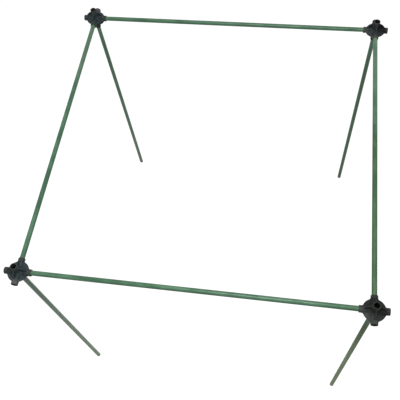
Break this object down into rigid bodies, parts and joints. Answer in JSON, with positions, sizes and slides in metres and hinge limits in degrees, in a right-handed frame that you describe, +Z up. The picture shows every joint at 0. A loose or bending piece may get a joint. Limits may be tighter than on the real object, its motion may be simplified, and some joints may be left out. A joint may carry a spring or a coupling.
{
  "type": "fruit cage",
  "caption": "Free-standing cube-shaped garden frame of green coated steel tubes pushed into moulded corner hubs that have spare sockets, for holding netting over fruit.",
  "frame": {"origin": "on the ground under the middle of the square frame", "axes": "+Z up, +X to the right and -Y to the front as the picture shows the frame; all bars and legs lie along a row axis"},
  "size_m": [1.3014, 1.3014, 1.2386],
  "materials": {
    "tube_coat": "satin green plastic coat over steel tube",
    "hub_plastic": "fine-grained near-black moulded plastic",
    "plug_plastic": "dull dark green moulded plastic"
  },
  "bodies": {
    "rear_left_corner": {"rear_left_hub": "hub_plastic"},
    "rear_tube": {"rear_bar": "tube_coat", "rear_bar_left_plug": "plug_plastic", "rear_bar_right_plug": "plug_plastic"},
    "rear_right_corner": {"rear_right_hub": "hub_plastic"},
    "right_tube": {"right_bar": "tube_coat", "right_bar_rear_plug": "plug_plastic", "right_bar_front_plug": "plug_plastic"},
    "front_right_corner": {"front_right_hub": "hub_plastic"},
    "left_tube": {"left_bar": "tube_coat", "left_bar_rear_plug": "plug_plastic", "left_bar_front_plug": "plug_plastic"},
    "front_left_corner": {"front_left_hub": "hub_plastic"},
    "front_tube": {"front_bar": "tube_coat", "front_bar_left_plug": "plug_plastic", "front_bar_right_plug": "plug_plastic"},
    "rear_left_upright": {"rear_left_leg": "tube_coat", "rear_left_leg_top_plug": "plug_plastic", "rear_left_leg_foot_plug": "plug_plastic"},
    "rear_right_upright": {"rear_right_leg": "tube_coat", "rear_right_leg_top_plug": "plug_plastic", "rear_right_leg_foot_plug": "plug_plastic"},
    "front_right_upright": {"front_right_leg": "tube_coat", "front_right_leg_top_plug": "plug_plastic", "front_right_leg_foot_plug": "plug_plastic"},
    "front_left_upright": {"front_left_leg": "tube_coat", "front_left_leg_top_plug": "plug_plastic", "front_left_leg_foot_plug": "plug_plastic"}
  },
  "joints": [
    {"name": "rear_bar_pulls_from_left_hub", "type": "slide", "parent": "rear_left_corner", "child": "rear_tube", "axis": [1, 0, 0], "range_m": [0, 0.035]},
    {"name": "rear_right_hub_pulls_off_rear_bar", "type": "slide", "parent": "rear_tube", "child": "rear_right_corner", "axis": [1, 0, 0], "range_m": [0, 0.035]},
    {"name": "right_bar_pulls_from_rear_hub", "type": "slide", "parent": "rear_right_corner", "child": "right_tube", "axis": [0, -1, 0], "range_m": [0, 0.035]},
    {"name": "front_right_hub_pulls_off_right_bar", "type": "slide", "parent": "right_tube", "child": "front_right_corner", "axis": [0, -1, 0], "range_m": [0, 0.035]},
    {"name": "left_bar_pulls_from_rear_hub", "type": "slide", "parent": "rear_left_corner", "child": "left_tube", "axis": [0, -1, 0], "range_m": [0, 0.035]},
    {"name": "front_left_hub_pulls_off_left_bar", "type": "slide", "parent": "left_tube", "child": "front_left_corner", "axis": [0, -1, 0], "range_m": [0, 0.035]},
    {"name": "front_bar_pulls_from_left_hub", "type": "slide", "parent": "front_left_corner", "child": "front_tube", "axis": [1, 0, 0], "range_m": [0, 0.035]},
    {"name": "rear_left_leg_pulls_from_hub", "type": "slide", "parent": "rear_left_corner", "child": "rear_left_upright", "axis": [0, 0, -1], "range_m": [0, 0.035]},
    {"name": "rear_right_leg_pulls_from_hub", "type": "slide", "parent": "rear_right_corner", "child": "rear_right_upright", "axis": [0, 0, -1], "range_m": [0, 0.035]},
    {"name": "front_right_leg_pulls_from_hub", "type": "slide", "parent": "front_right_corner", "child": "front_right_upright", "axis": [0, 0, -1], "range_m": [0, 0.035]},
    {"name": "front_left_leg_pulls_from_hub", "type": "slide", "parent": "front_left_corner", "child": "front_left_upright", "axis": [0, 0, -1], "range_m": [0, 0.035]}
  ],
  "couplings": [
    {"joint": "front_bar_pulls_from_left_hub", "follows": "rear_bar_pulls_from_left_hub", "ratio": 1},
    {"joint": "right_bar_pulls_from_rear_hub", "follows": "left_bar_pulls_from_rear_hub", "ratio": 1},
    {"joint": "front_right_hub_pulls_off_right_bar", "follows": "front_left_hub_pulls_off_left_bar", "ratio": 1}
  ]
}
